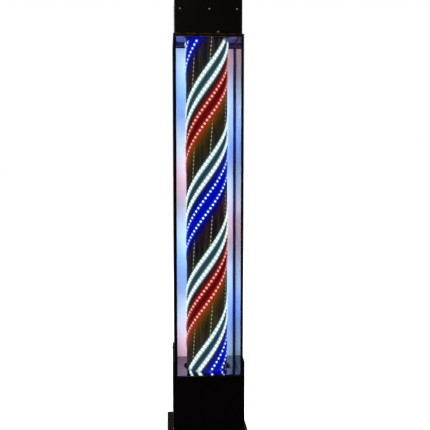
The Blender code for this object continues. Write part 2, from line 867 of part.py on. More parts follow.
def make_wiring(mats):
    """The leads that stay inside the housing."""
    sheath = mats["cable_sheath"]
    mains = [
        (SWITCH_AT[0], 0.0770, SWITCH_AT[1]),
        (SWITCH_AT[0], 0.068, SWITCH_AT[1] - 0.002),
        (0.043, 0.056, 0.108),
        (0.038, 0.040, 0.084),
        (0.028, 0.030, 0.062),
        (0.0200, 0.020, 0.048),
        (0.0190, 0.0090, 0.046),
    ]
    motor = [
        (0.0300, 0.002, 0.120),
        (0.037, 0.002, 0.117),
        (0.040, 0.004, 0.100),
        (0.030, 0.012, 0.072),
        (0.014, 0.016, 0.054),
        (0.0095, 0.0150, 0.0475),
        (0.0095, 0.0090, 0.046),
    ]
    controller_to_brushes = [
        (-0.0872, -0.015, 0.1490),
        (-0.0872, -0.014, 0.156),
        (-0.081, 0.006, 0.166),
        (-0.068, 0.040, 0.166),
        (-0.040, 0.072, 0.168),
        (0.004, 0.086, 0.176),
        (0.045, 0.0925, 0.186),
        (0.060, 0.0960, 0.203),
        (0.060, 0.0985, 0.212),
        (0.060, 0.1005, 0.222),
        (0.060, 0.1008, 0.300),
        (0.060, 0.1008, 0.700),
        (0.060, 0.1008, 1.100),
        (0.060, 0.1008, 1.155),
        (0.060, 0.1001, 1.1730),
        (0.060, 0.0938, 1.1820),
        (0.060, 0.0888, 1.1900),
        (0.060, 0.0880, 1.1985),
        (0.058, 0.078, 1.214),
        (0.054, 0.050, 1.232),
        (0.050, 0.018, 1.241),
        (0.0430, 0.001, 1.242),
        (0.0340, 0.0, 1.242),
    ]
    cable("mains_lead", mains, 0.0050, sheath)
    cable("motor_lead", motor, 0.0040, sheath)
    cable("led_feed_lead", controller_to_brushes, 0.0030, sheath)


def main():
    for old in list(bpy.data.objects):
        bpy.data.objects.remove(old)
    mats = make_materials()
    make_posts(mats)
    make_plinth(mats)
    make_base_shell(mats)
    make_rear_cover(mats)
    make_glazing(mats)
    make_back(mats)
    make_sill(mats)
    make_top_frame(mats)
    make_cap(mats)
    make_bearing_bridge(mats)
    make_top_bearing(mats)
    make_slip_ring(mats)
    make_drum(mats)
    make_drive(mats)
    make_motor(mats)
    make_power_supply(mats)
    make_switch(mats)
    make_gland(mats)
    make_wiring(mats)


main()
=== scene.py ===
"""Barber pole light: finished surfaces, fine pieces and studio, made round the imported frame.

Metres, +Z up, front towards -Y. The housing stands still. The drum, with its film and LED tapes,
turns about the column's axis.
"""

import math

import bmesh
import bpy
from mathutils import Matrix, Vector


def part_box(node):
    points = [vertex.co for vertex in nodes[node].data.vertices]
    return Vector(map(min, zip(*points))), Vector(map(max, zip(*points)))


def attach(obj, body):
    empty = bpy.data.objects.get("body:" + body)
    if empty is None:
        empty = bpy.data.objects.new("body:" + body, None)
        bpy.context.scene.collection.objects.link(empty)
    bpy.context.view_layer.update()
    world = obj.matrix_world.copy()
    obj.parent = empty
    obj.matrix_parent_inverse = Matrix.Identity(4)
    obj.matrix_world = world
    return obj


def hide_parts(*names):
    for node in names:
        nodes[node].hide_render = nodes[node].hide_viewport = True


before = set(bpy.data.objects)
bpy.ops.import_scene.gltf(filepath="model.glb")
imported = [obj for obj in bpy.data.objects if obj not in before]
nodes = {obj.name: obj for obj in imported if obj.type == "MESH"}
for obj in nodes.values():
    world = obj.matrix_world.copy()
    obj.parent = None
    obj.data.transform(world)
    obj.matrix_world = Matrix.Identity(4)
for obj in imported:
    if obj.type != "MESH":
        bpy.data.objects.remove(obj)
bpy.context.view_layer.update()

# ---------------------------------------------------------------- places taken from the frame
DRUM_LOW, DRUM_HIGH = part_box("drum_tube")
DRUM_RADIUS = DRUM_HIGH.x
DRUM_WALL = 0.003
FLOOR_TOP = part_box("chamber_floor")[1].z
SIDE_GLASS_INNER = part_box("side_glass_right")[0].x
CAP_LOW, CAP_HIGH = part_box("cap_shell")
BASE_LOW, BASE_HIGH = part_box("base_shell")
REAR_COVER_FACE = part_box("base_rear_cover")[1].y
BACK_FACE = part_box("back_panel")[1].y
REFLECTOR_LOW, REFLECTOR_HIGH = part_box("back_reflector")
GLAND_LOW, GLAND_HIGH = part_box("cable_gland")

# ---------------------------------------------------------------- the helix of the LED tapes
LEAD = 0.5272  # height climbed in one turn
FIRST_CROSSING = 1.0967  # where the first tape crosses the front of the drum
LED_PITCH = 0.0119
TAPE_WIDTH = 0.0098
TAPE_THICKNESS = 0.0006
TAPE_LIFT = 0.0002  # from the film to the tape's underside
TAPE_STEPS = 260
TAPE_SIDE_STEPS = 4
GLUE = 0.00005  # between the tape and a chip, and between a chip and its lens
CHIP_HALF, CHIP_HEIGHT, CHIP_NOTCH = 0.0025, 0.0009, 0.0008
CHIP_TAPER = 0.94
TAPE_LOW_GAP = 0.014  # from the drum's lower edge
TAPE_HIGH_GAP = 0.0252  # from the drum's upper edge, so that the ends show under the top frame
TAPE_LOW, TAPE_HIGH = DRUM_LOW.z + TAPE_LOW_GAP, DRUM_HIGH.z - TAPE_HIGH_GAP
TAPES = (  # colour, and how many degrees behind the first tape
    ("white", 0),
    ("white", 33),
    ("red", 66),
    ("red", 99),
    ("white", 180),
    ("white", 213),
    ("blue", 246),
    ("blue", 279),
)

# ---------------------------------------------------------------- LED looks
# radius, height, lens and power: the clear drop's size, colour and strength. halo: the tape's glow
# against the distance from the nearest chip, in LED pitches. line: its glow against the distance from
# the tape's middle, where 1 is the edge. room and room_power: the light that it throws on the chamber.
LED = {
    "white": dict(
        radius=0.0045,
        height=0.0016,
        lens=(0.84, 0.96, 0.92),
        power=1.15,
        halo=(
            (0.00, (0.92, 1.0, 0.98)),
            (0.40, (0.80, 0.93, 0.90)),
            (0.50, (0.44, 0.58, 0.58)),
            (0.62, (0.16, 0.27, 0.29)),
        ),
        line=((0.0, (0.64, 0.78, 0.76)), (0.65, (0.52, 0.67, 0.66)), (1.0, (0.36, 0.50, 0.50))),
        room=(0.52, 0.73, 1.0),
        room_power=12.8,
    ),
    "red": dict(
        radius=0.0031,
        height=0.0014,
        lens=(1.0, 0.50, 0.39),
        power=1.35,
        halo=((0.00, (1.0, 0.45, 0.32)), (0.26, (0.85, 0.20, 0.13)), (0.40, (0.0, 0.0, 0.0))),
        line=((0.0, (0.46, 0.024, 0.026)), (0.35, (0.40, 0.012, 0.012)), (0.9, (0.30, 0.004, 0.002))),
        room=(1.0, 0.46, 0.56),
        room_power=9.0,
    ),
    "blue": dict(
        radius=0.0031,
        height=0.0014,
        lens=(0.66, 0.92, 1.0),
        power=1.5,
        halo=((0.00, (0.60, 0.88, 1.0)), (0.21, (0.26, 0.46, 0.95)), (0.33, (0.0, 0.0, 0.0))),
        line=((0.0, (0.004, 0.012, 0.50)), (0.9, (0.002, 0.005, 0.46))),
        room=(0.10, 0.27, 1.0),
        room_power=15.0,
    ),
}


# ---------------------------------------------------------------- node tools
class Graph:
    """Short hands for wiring shader nodes."""

    def __init__(self, tree):
        self.tree = tree
        self.nodes = tree.nodes
        self.links = tree.links

    def add(self, kind, **settings):
        node = self.nodes.new(kind)
        for name, value in settings.items():
            setattr(node, name, value)
        return node

    def feed(self, socket, value):
        if isinstance(value, bpy.types.NodeSocket):
            self.links.new(value, socket)
        elif isinstance(value, (tuple, list)) and socket.type == "RGBA" and len(value) == 3:
            socket.default_value = (*value, 1.0)
        else:
            socket.default_value = value

    def fill(self, node, **values):
        """Sets a node's inputs by name, so that grain_scale is its Grain Scale."""
        for label, value in values.items():
            self.feed(node.inputs[label.replace("_", " ").title()], value)
        return node

    def math(self, operation, a, b=None, c=None, clamp=False):
        node = self.add("ShaderNodeMath", operation=operation, use_clamp=clamp)
        for socket, value in zip(node.inputs, (a, b, c)):
            if value is not None:
                self.feed(socket, value)
        return node.outputs[0]

    def stretch(self, vector, factors):
        node = self.add("ShaderNodeVectorMath", operation="MULTIPLY")
        self.feed(node.inputs[0], vector)
        self.feed(node.inputs[1], factors)
        return node.outputs[0]

    def mix(self, factor, a, b, blend="MIX"):
        node = self.add("ShaderNodeMix", data_type="RGBA", blend_type=blend)
        self.feed(node.inputs[0], factor)
        self.feed(node.inputs[6], a)
        self.feed(node.inputs[7], b)
        return node.outputs[2]

    def ramp(self, value, stops, interpolation="LINEAR"):
        node = self.add("ShaderNodeValToRGB")
        band = node.color_ramp
        band.interpolation = interpolation
        while len(band.elements) > 1:
            band.elements.remove(band.elements[-1])
        band.elements[0].position = stops[0][0]
        band.elements[0].color = colour4(stops[0][1])
        for position, colour in stops[1:]:
            band.elements.new(position).color = colour4(colour)
        self.feed(node.inputs[0], value)
        return node.outputs["Color"]

    def span(self, value, low, high, to_low=0.0, to_high=1.0, smooth=False):
        node = self.add("ShaderNodeMapRange", interpolation_type="SMOOTHSTEP" if smooth else "LINEAR")
        for socket, entry in zip(node.inputs, (value, low, high, to_low, to_high)):
            self.feed(socket, entry)
        return node.outputs[0]

    def noise(self, vector, scale, detail=2.0, roughness=0.5):
        node = self.add("ShaderNodeTexNoise")
        self.fill(node, vector=vector, scale=scale, detail=detail, roughness=roughness)
        return node.outputs["Fac"]

    def place(self):
        return self.add("ShaderNodeTexCoord").outputs["Object"]

    def normal(self):
        return self.add("ShaderNodeNewGeometry").outputs["Normal"]

    def split(self, vector):
        node = self.add("ShaderNodeSeparateXYZ")
        self.feed(node.inputs[0], vector)
        return node.outputs[0], node.outputs[1], node.outputs[2]

    def scale(self, vector, factor):
        node = self.add("ShaderNodeVectorMath", operation="SCALE")
        self.feed(node.inputs[0], vector)
        self.feed(node.inputs["Scale"], factor)
        return node.outputs[0]

    def dot(self, a, b):
        node = self.add("ShaderNodeVectorMath", operation="DOT_PRODUCT")
        self.feed(node.inputs[0], a)
        self.feed(node.inputs[1], b)
        return node.outputs["Value"]

    def length(self, vector):
        node = self.add("ShaderNodeVectorMath", operation="LENGTH")
        self.feed(node.inputs[0], vector)
        return node.outputs["Value"]

    def product(self, first, *others):
        for other in others:
            first = self.math("MULTIPLY", first, other)
        return first

    def vary(self, value, amount, middle=1.0):
        """A value that runs from 0 to 1, turned into one that varies by amount about middle."""
        return self.math("MULTIPLY_ADD", self.math("SUBTRACT", value, 0.5), amount, middle)

    def bump(self, height, strength, distance):
        node = self.fill(
            self.add("ShaderNodeBump"), strength=strength, distance=distance, height=height
        )
        return node.outputs[0]


def colour4(value):
    if isinstance(value, (int, float)):
        return (value, value, value, 1.0)
    return (*value, 1.0) if len(value) == 3 else tuple(value)


def group(name, inputs, outputs, build):
    """A shader node group with named sockets. build(graph, source) returns one output per name."""
    tree = bpy.data.node_groups.new(name, "ShaderNodeTree")
    for label, kind, value in inputs:
        socket = tree.interface.new_socket(name=label, in_out="INPUT", socket_type=kind)
        if value is not None:
            socket.default_value = colour4(value) if kind == "NodeSocketColor" else value
    for label, kind in outputs:
        tree.interface.new_socket(name=label, in_out="OUTPUT", socket_type=kind)
    graph = Graph(tree)
    source = graph.add("NodeGroupInput")
    sink = graph.add("NodeGroupOutput")
    for socket, result in zip(sink.inputs, build(graph, source)):
        graph.links.new(result, socket)
    return tree


def use(graph, tree, **values):
    return graph.fill(graph.add("ShaderNodeGroup", node_tree=tree), **values)


FLOAT, COLOUR, VECTOR = "NodeSocketFloat", "NodeSocketColor", "NodeSocketVector"


def build_surface(graph, source):
    """Uneven colour, patchy roughness and a fine skin, from three sizes of noise."""
    place = graph.place()
    patches = graph.noise(place, source.outputs["Patch Scale"], 3.0, 0.55)
    grain = graph.noise(place, source.outputs["Grain Scale"], 2.0, 0.6)
    hand_smears = graph.noise(graph.stretch(place, (1.0, 1.0, 0.22)), 38.0, 4.0, 0.62)
    shade = graph.vary(patches, source.outputs["Variation"])
    speckle = graph.vary(grain, source.outputs["Speckle"], shade)
    colour = graph.scale(source.outputs["Colour"], speckle)
    spread = graph.math("MULTIPLY", graph.math("SUBTRACT", hand_smears, 0.5), source.outputs["Smear"])
    roughness = graph.math("ADD", source.outputs["Roughness"], spread, clamp=True)
    height = graph.math("MULTIPLY", grain, source.outputs["Grain Depth"])
    return colour, roughness, graph.bump(height, 1.0, 0.001)


def build_dust(graph, source):
    """Fine dust that settles on upward faces, and a few specks elsewhere."""
    place = graph.place()
    up = graph.span(graph.split(graph.normal())[2], 0.3, 1.0)
    drift = graph.span(graph.noise(place, 60.0, 4.0, 0.65), 0.35, 0.75)
    specks = graph.span(graph.noise(place, 1900.0, 1.0), 0.69, 0.74)
    settled = graph.product(up, graph.math("MULTIPLY", drift, 0.5))
    mask = graph.math("MULTIPLY_ADD", specks, 0.35, settled, clamp=True)
    return (graph.math("MULTIPLY", mask, source.outputs["Amount"]),)


def build_edge_rub_and_highlight(graph, source):
    """Corners abraded through to the primer, in patches, which on the top frame also carry a painted warm
    highlight.
    """
    rounded = graph.add("ShaderNodeBevel", samples=4)
    graph.feed(rounded.inputs["Radius"], source.outputs["Width"])
    flatness = graph.dot(rounded.outputs[0], graph.normal())
    edge = graph.span(flatness, 0.90, 0.995, 1.0, 0.0)
    rub = graph.span(graph.noise(graph.place(), 55.0, 5.0, 0.65), 0.42, 0.62)
    return (graph.math("MULTIPLY", edge, rub, clamp=True),)


def build_inward(graph, source):
    """1 at the back of the chamber on faces that aren't turned outwards, 0 elsewhere."""
    place = graph.place()
    x, y, z = graph.split(place)
    outward = graph.dot(graph.stretch(place, (1.0, 1.0, 0.0)), graph.normal())
    turned_in = graph.math("LESS_THAN", outward, 0.02)
    behind = graph.math("GREATER_THAN", y, source.outputs["Front"])
    above = graph.math("GREATER_THAN", z, source.outputs["Low"])
    within = graph.math("LESS_THAN", graph.math("ABSOLUTE", x), source.outputs["Inside"])
    return (graph.product(turned_in, behind, above, within),)


def build_phase(graph, source):
    """Where a point lies between the tapes: 0 on the first one, growing downwards to 1 a turn below."""
    x, y, z = graph.split(graph.place())
    angle = graph.math("ARCTAN2", y, x)
    turns = graph.math("MULTIPLY_ADD", angle, 1 / (2 * math.pi), 0.25)
    fall = graph.math("SUBTRACT", source.outputs["First Crossing"], z)
    rise = graph.math("DIVIDE", fall, source.outputs["Lead"])
    return graph.math("FRACT", graph.math("ADD", turns, rise)), turns, z


SURFACE = group(
    "worked_surface",
    (
        ("Colour", VECTOR, None),
        ("Variation", FLOAT, 0.2),
        ("Speckle", FLOAT, 0.2),
        ("Patch Scale", FLOAT, 14.0),
        ("Grain Scale", FLOAT, 1400.0),
        ("Grain Depth", FLOAT, 0.05),
        ("Roughness", FLOAT, 0.4),
        ("Smear", FLOAT, 0.15),
    ),
    (("Colour", COLOUR), ("Roughness", FLOAT), ("Normal", VECTOR)),
    build_surface,
)
EDGE_RUB_AND_HIGHLIGHT = group("edge_rub_and_highlight", (("Width", FLOAT, 0.001),), (("Mask", FLOAT),), build_edge_rub_and_highlight)
INWARD = group(
    "inward_faces",
    (("Low", FLOAT, 0.2), ("Inside", FLOAT, 0.09), ("Front", FLOAT, 0.06)),
    (("Mask", FLOAT),),
    build_inward,
)
DUST = group("settled_dust", (("Amount", FLOAT, 1.0),), (("Mask", FLOAT),), build_dust)
PHASE = group(
    "helix_phase",
    (("Lead", FLOAT, LEAD), ("First Crossing", FLOAT, FIRST_CROSSING)),
    (("Phase", FLOAT), ("Turns", FLOAT), ("Height", FLOAT)),
    build_phase,
)


def new_material(name):
    made = bpy.data.materials.new(name)
    made.use_nodes = True
    graph = Graph(made.node_tree)
    return made, graph, graph.nodes["Principled BSDF"]


def worked(
    name,
    colour,
    roughness,
    metallic=0.0,
    dust=0.25,
    dust_colour=(0.30, 0.29, 0.27),
    specular=0.5,
    rub_and_highlight=None,
    rub_and_highlight_width=0.0011,
    inner=None,
    **skin,
):
    """A solid surface with uneven colour, fine grain and a little dust.

    rub_and_highlight is the colour of its abraded corners, which on the top frame is also a painted warm
    highlight, and inner the colour of its faces inside the chamber, there painted blue LED light.
    skin holds other values of the worked_surface group.
    """
    made, graph, shader = new_material(name)
    surface = use(graph, SURFACE, colour=colour, roughness=roughness, **skin)
    settled = use(graph, DUST, amount=dust).outputs["Mask"]
    colour_now = graph.mix(settled, surface.outputs["Colour"], dust_colour)
    # faces inside the chamber take painted blue LED light
    if inner:
        turned_in = use(graph, INWARD, low=FLOOR_TOP, inside=SIDE_GLASS_INNER)
        colour_now = graph.mix(turned_in.outputs["Mask"], colour_now, inner)
    if rub_and_highlight:
        edge_mask = use(graph, EDGE_RUB_AND_HIGHLIGHT, width=rub_and_highlight_width)
        colour_now = graph.mix(edge_mask.outputs["Mask"], colour_now, rub_and_highlight)
    graph.feed(shader.inputs["Base Color"], colour_now)
    dull = graph.math("MULTIPLY_ADD", settled, 0.4, surface.outputs["Roughness"], clamp=True)
    graph.fill(shader, roughness=dull, normal=surface.outputs["Normal"], metallic=metallic)
    shader.inputs["Specular IOR Level"].default_value = specular
    return made


def brushed(name, colour, roughness, along=(1.0, 1.0, 0.03)):
    """Metal with fine lines running along one axis."""
    made, graph, shader = new_material(name)
    place = graph.place()
    lines = graph.noise(graph.stretch(place, along), 2400.0, 3.0, 0.6)
    stain = graph.noise(place, 45.0, 4.0, 0.6)
    tone = graph.vary(stain, 0.4, graph.vary(lines, 0.35))
    graph.feed(shader.inputs["Base Color"], graph.scale(colour, tone))
    dull = graph.math("MULTIPLY_ADD", stain, 0.25, roughness - 0.1, clamp=True)
    graph.fill(shader, roughness=dull, normal=graph.bump(lines, 0.25, 0.0002), metallic=1.0)
    return made


def clear_glass():
    """Clear panes with the faint smears of a wiping cloth."""
    made, graph, shader = new_material("clear_float_glass")
    smears = graph.noise(graph.stretch(graph.place(), (1.0, 1.0, 0.3)), 26.0, 5.0, 0.65)
    tint = graph.mix(graph.span(smears, 0.4, 0.9), (0.965, 0.985, 0.978), (0.945, 0.970, 0.965))
    graph.fill(
        shader,
        base_color=tint,
        roughness=graph.span(smears, 0.62, 0.9, 0.0, 0.03),
        transmission_weight=1.0,
    )
    shader.inputs["IOR"].default_value = 1.5
    return made


# painted reflections of the LEDs: faint glowing rows of dots in the film
ROWS = 7  # faint rows of dots that run up the drum
ROW_LEAN = 0.059  # in turns, from one pair of white tapes to the next
ROW_START = 7.20  # where the first row stands, in rows; whole rows are added to keep it positive
ROW_PITCH = 0.0115
# colour of the painted reflections
REFLECTED_DOT_COLOUR = (0.62, 0.60, 0.36)


def build_painted_reflection_rows(graph, source):
    """Faint rows of dots, painted reflections of the LEDs in the film, each leaning a little."""
    half = graph.math("FRACT", graph.math("MULTIPLY", source.outputs["Phase"], 2.0))
    lean = graph.math("MULTIPLY", graph.math("SUBTRACT", half, 0.5), ROW_LEAN)
    turns = graph.math("ADD", source.outputs["Turns"], lean)
    row = graph.math("FRACT", graph.math("MULTIPLY_ADD", turns, float(ROWS), ROW_START))
    aside = graph.math("ABSOLUTE", graph.math("SUBTRACT", row, 0.5))
    step = graph.math("FRACT", graph.math("DIVIDE", source.outputs["Height"], ROW_PITCH))
    above = graph.math("ABSOLUTE", graph.math("SUBTRACT", step, 0.5))
    line = graph.span(aside, 0.012, 0.036, 1.0, 0.0, smooth=True)
    dot = graph.span(above, 0.08, 0.26, 1.0, 0.12, smooth=True)
    return (graph.math("MULTIPLY", line, dot),)


PAINTED_REFLECTION_ROWS = group(
    "painted_reflection_dots",
    (("Phase", FLOAT, 0.0), ("Turns", FLOAT, 0.0), ("Height", FLOAT, 0.0)),
    (("Mask", FLOAT),),
    build_painted_reflection_rows,
)


def ceiling_sheet():
    """A satin sheet overhead in painted blue LED light, darker on its turned-down edges."""
    made, graph, shader = new_material("ceiling_sheet_painted_blue_light")
    level = graph.span(graph.math("ABSOLUTE", graph.split(graph.normal())[2]), 0.4, 0.6)
    # painted light: the sheet's blue stands for the LEDs' blue light on it
    surface = use(
        graph, SURFACE, colour=(0.12, 0.14, 0.38), variation=0.2, speckle=0.1, roughness=0.42, smear=0.15
    )
    tone_by_face = graph.mix(level, (0.008, 0.018, 0.180), surface.outputs["Colour"])
    graph.fill(
        shader,
        base_color=tone_by_face,
        roughness=surface.outputs["Roughness"],
        normal=surface.outputs["Normal"],
    )
    shader.inputs["Specular IOR Level"].default_value = 0.4
    return made


def post_coat_and_blue_light(black):
    """Black powder coat outside, and painted blue LED light, satin and half metallic, on the faces turned
    to the drum.
    """
    made, graph, shader = new_material("post_coat_and_painted_blue_light")
    inner = use(graph, INWARD, low=FLOOR_TOP, inside=SIDE_GLASS_INNER - 0.001).outputs["Mask"]
    # painted light: the blue that the LEDs throw on the faces turned to the drum
    blue = use(graph, SURFACE, colour=(0.075, 0.074, 0.420), variation=0.3, speckle=0.2, roughness=0.30)
    coat = use(
        graph, SURFACE, colour=black, variation=0.5, speckle=0.5, grain_scale=900.0, grain_depth=0.10
    )
    tone_by_face = graph.mix(inner, coat.outputs["Colour"], blue.outputs["Colour"])
    graph.fill(
        shader,
        base_color=tone_by_face,
        roughness=blue.outputs["Roughness"],
        metallic=graph.math("MULTIPLY", inner, 0.5),
        normal=coat.outputs["Normal"],
    )
    shader.inputs["Specular IOR Level"].default_value = 0.12
    return made


def drum_film():
    """Glossy black film that glows with painted light. The light that spreads in it from the tapes follows
    the helix; a painted streaky glow fills the gaps, with painted reflections in rows of dots.
    """
    made, graph, shader = new_material("drum_film")
    helix = use(graph, PHASE)
    phase, turns, height = (helix.outputs[name] for name in ("Phase", "Turns", "Height"))
    blue_side = graph.math("GREATER_THAN", phase, 0.5)
    spread = graph.mix(blue_side, graph.ramp(phase, RED_SIDE_GLOW), graph.ramp(phase, BLUE_SIDE_GLOW))

    upright = graph.add("ShaderNodeCombineXYZ")
    graph.feed(upright.inputs["X"], turns)
    graph.feed(upright.inputs["Z"], graph.math("MULTIPLY", height, 0.12))
    streaks = graph.noise(upright.outputs[0], 62.0, 3.0, 0.6)
    glow_hues = graph.noise(upright.outputs[0], 17.0, 2.0, 0.5)
    # painted light: a streaky coloured glow in the gaps between the groups of tapes
    gap = graph.ramp(phase, FILM_GAPS, "EASE")
    streaked = graph.product(gap, graph.span(streaks, 0.44, 0.64))
    haze = graph.mix(streaked, (0, 0, 0), graph.ramp(glow_hues, GAP_GLOW_COLOURS))

    # painted reflections of the LEDs, in rows of dots over the gaps
    rows = use(graph, PAINTED_REFLECTION_ROWS, phase=phase, turns=turns, height=height).outputs["Mask"]
    lit = graph.mix(1.0, spread, haze, "ADD")
    lit = graph.mix(graph.product(rows, gap), lit, REFLECTED_DOT_COLOUR)
    # mottles the film's painted glow
    glow_mottle = graph.vary(graph.noise(graph.place(), 420.0, 2.0, 0.6), 0.7)
    ends = graph.span(height, TAPE_HIGH + GLOW_END_START, TAPE_HIGH + GLOW_END_STOP, 1.0, 0.05)
    graph.fill(shader, emission_color=graph.scale(lit, graph.product(glow_mottle, ends)), emission_strength=1.0)

    ink = graph.mix(streaks, (0.004, 0.004, 0.005), (0.012, 0.011, 0.010))
    scuffs = graph.noise(graph.place(), 70.0, 4.0, 0.6)
    graph.fill(
        shader,
        base_color=ink,
        roughness=graph.span(scuffs, 0.3, 0.8, 0.10, 0.22),
        normal=graph.bump(streaks, 0.15, 0.0004),
    )
    shader.inputs["Specular IOR Level"].default_value = 0.2
    return made


GLOW_END_START = 0.001  # above the tapes' upper ends, where the film's glow begins to fade
GLOW_END_STOP = 0.010
# colours of the painted streaky glow in the gaps
GAP_GLOW_COLOURS = (
    (0.30, (0.042, 0.012, 0.038)),
    (0.41, (0.046, 0.015, 0.003)),
    (0.50, (0.012, 0.026, 0.004)),
    (0.58, (0.010, 0.006, 0.014)),
    (0.70, (0.075, 0.027, 0.002)),
)
# Glow in the film against the helix phase. The tapes lie at 0, .092, .183, .275, .5, .592, .683 and .775:
# two white, two red, two white and two blue.
RED_SIDE_GLOW = (
    (0.000, (0.100, 0.190, 0.210)),
    (0.018, (0.360, 0.500, 0.500)),
    (0.025, (0.030, 0.080, 0.100)),
    (0.046, (0.010, 0.042, 0.066)),
    (0.067, (0.030, 0.080, 0.100)),
    (0.074, (0.360, 0.500, 0.500)),
    (0.092, (0.100, 0.190, 0.210)),
    (0.110, (0.320, 0.450, 0.450)),
    (0.118, (0.016, 0.024, 0.034)),
    (0.142, (0.018, 0.007, 0.014)),
    (0.160, (0.180, 0.001, 0.001)),
    (0.183, (0.440, 0.006, 0.002)),
    (0.206, (0.190, 0.001, 0.001)),
    (0.229, (0.070, 0.000, 0.002)),
    (0.252, (0.190, 0.001, 0.001)),
    (0.275, (0.460, 0.010, 0.002)),
    (0.296, (0.340, 0.024, 0.001)),
    (0.318, (0.150, 0.036, 0.001)),
    (0.350, (0.050, 0.022, 0.001)),
    (0.390, (0.016, 0.009, 0.002)),
    (0.476, (0.008, 0.014, 0.011)),
    (0.483, (0.280, 0.400, 0.400)),
    (0.500, (0.100, 0.190, 0.210)),
)
BLUE_SIDE_GLOW = (
    (0.500, (0.100, 0.190, 0.210)),
    (0.518, (0.340, 0.480, 0.490)),
    (0.526, (0.022, 0.066, 0.092)),
    (0.546, (0.010, 0.036, 0.070)),
    (0.566, (0.022, 0.066, 0.092)),
    (0.574, (0.340, 0.480, 0.490)),
    (0.609, (0.300, 0.430, 0.450)),
    (0.617, (0.008, 0.016, 0.060)),
    (0.645, (0.001, 0.003, 0.220)),
    (0.683, (0.001, 0.004, 0.540)),
    (0.729, (0.000, 0.002, 0.470)),
    (0.775, (0.001, 0.004, 0.540)),
    (0.800, (0.001, 0.002, 0.300)),
    (0.825, (0.005, 0.002, 0.080)),
    (0.860, (0.008, 0.004, 0.018)),
    (0.920, (0.006, 0.004, 0.007)),
    (0.976, (0.008, 0.014, 0.011)),
    (0.983, (0.280, 0.400, 0.400)),
)
FILM_GAPS = (  # 1 where bare film shows between the groups of tapes
    (0.300, 0.0),
    (0.370, 1.0),
    (0.465, 1.0),
    (0.492, 0.0),
    (0.815, 0.0),
    (0.860, 1.0),
    (0.965, 1.0),
    (0.992, 0.0),
)

MIRRORED_BOOST = 3.0  # how much hotter than to the eye an LED looks in a polished sheet


def glow(graph, shader, seen, look):
    """One look for the eye, a hotter one in polished sheets, and the full light for the chamber."""
    path = graph.add("ShaderNodeLightPath")
    room = tuple(part * look["room_power"] for part in look["room"])
    mirrored = graph.product(path.outputs["Is Glossy Ray"], path.outputs["Is Reflection Ray"])
    hotter = graph.scale(seen, graph.math("MULTIPLY_ADD", mirrored, MIRRORED_BOOST, 1.0))
    graph.fill(
        shader,
        emission_color=graph.mix(path.outputs["Is Diffuse Ray"], hotter, room),
        emission_strength=1.0,
    )


def lens_material(colour):
    """The clear drop over a chip: hot in the middle, with the tape's colour at its rim."""
    look = LED[colour]
    made, graph, shader = new_material(f"{colour}_led_lens")
    rim = graph.add("ShaderNodeLayerWeight")
    rim.inputs["Blend"].default_value = 0.30
    hot = tuple(part * look["power"] for part in look["lens"])
    tape_middle = look["line"][0][1]
    glow(graph, shader, graph.mix(rim.outputs["Facing"], hot, tape_middle), look)
    haze = graph.noise(graph.place(), 300.0)
    graph.fill(shader, base_color=graph.mix(haze, (0.10, 0.10, 0.08), (0.16, 0.16, 0.14)), roughness=0.12)
    return made


def copper_pads(graph, count, side):
    """Two rows of solder pads at each cutting mark, which comes every third LED."""
    mark = graph.math("SUBTRACT", graph.math("FRACT", graph.math("DIVIDE", count, 3.0)), 0.5)
    off_row = graph.math("ABSOLUTE", graph.math("SUBTRACT", side, 0.55))
    in_row = graph.math("LESS_THAN", off_row, 0.22)
    at_mark = graph.math("LESS_THAN", graph.math("ABSOLUTE", mark), 0.045)
    return graph.product(in_row, at_mark)


def tape_material(colour):
    """The tape's coated face. U counts LEDs along the tape, and V runs across it from 0 to 1."""
    look = LED[colour]
    made, graph, shader = new_material(f"{colour}_led_tape")
    count, crossing, _ = graph.split(graph.add("ShaderNodeUVMap").outputs[0])
    along = graph.math("SUBTRACT", graph.math("FRACT", count), 0.5)
    across = graph.math("MULTIPLY_ADD", crossing, 2.0, -1.0)
    reach = graph.math("MULTIPLY", across, TAPE_WIDTH / LED_PITCH / 2)
    squares = graph.math("ADD", graph.math("POWER", along, 2.0), graph.math("POWER", reach, 2.0))
    away = graph.math("SQRT", squares)
    side = graph.math("ABSOLUTE", across)
    seen = graph.mix(1.0, graph.ramp(away, look["halo"]), graph.ramp(side, look["line"]), "LIGHTEN")
    glow(graph, shader, seen, look)
    board = graph.mix(copper_pads(graph, count, side), (0.010, 0.010, 0.011), (0.20, 0.11, 0.045))
    graph.feed(shader.inputs["Base Color"], board)
    varnish = graph.noise(graph.place(), 180.0)
    graph.feed(shader.inputs["Roughness"], graph.span(varnish, 0.3, 0.7, 0.22, 0.4))
    return made


BLACK_COAT = (0.0088, 0.0040, 0.0038)


